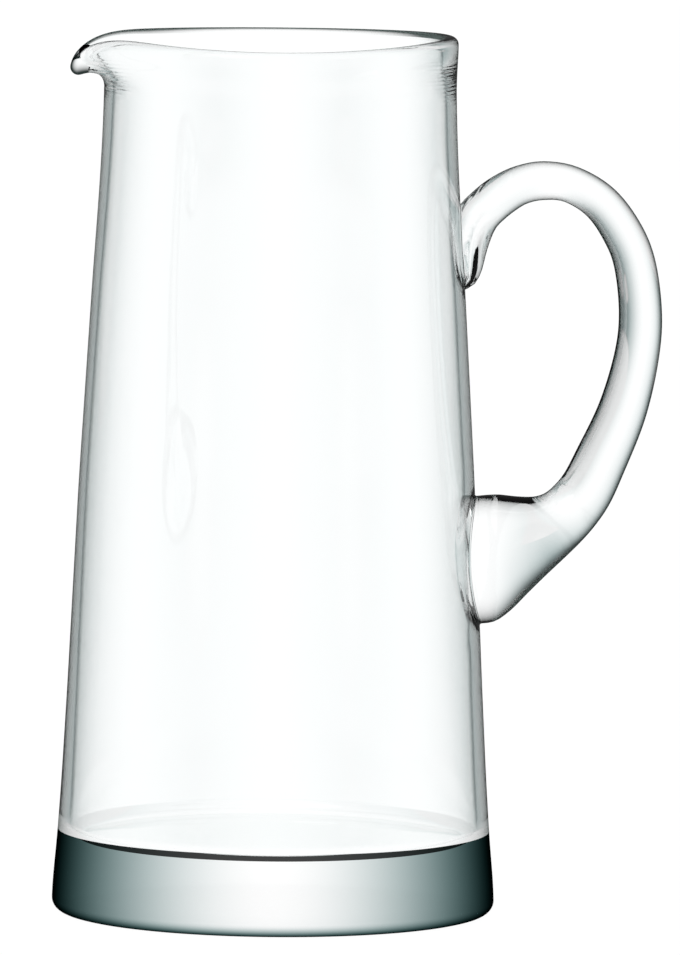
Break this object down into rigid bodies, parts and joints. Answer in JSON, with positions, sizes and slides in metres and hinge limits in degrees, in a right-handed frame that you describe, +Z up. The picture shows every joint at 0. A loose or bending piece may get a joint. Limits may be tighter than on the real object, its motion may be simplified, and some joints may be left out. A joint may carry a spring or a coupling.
{
  "type": "glass jug",
  "caption": "Tall tapering clear glass jug with a pulled pouring lip, a heavy solid glass base and a looped, drawn glass handle.",
  "frame": {"origin": "centre of the flat resting face, on the jug's upright axis", "axes": "+Z up along the jug's axis, +X towards the handle, -X towards the pouring lip"},
  "size_m": [0.1793, 0.1314, 0.2603],
  "materials": {
    "clear_glass": "fire-polished, clear soda-lime glass with a faint grey-green edge tint"
  },
  "bodies": {
    "root": {"blown_wall": "clear_glass", "heavy_base": "clear_glass", "drawn_handle": "clear_glass"}
  },
  "joints": []
}
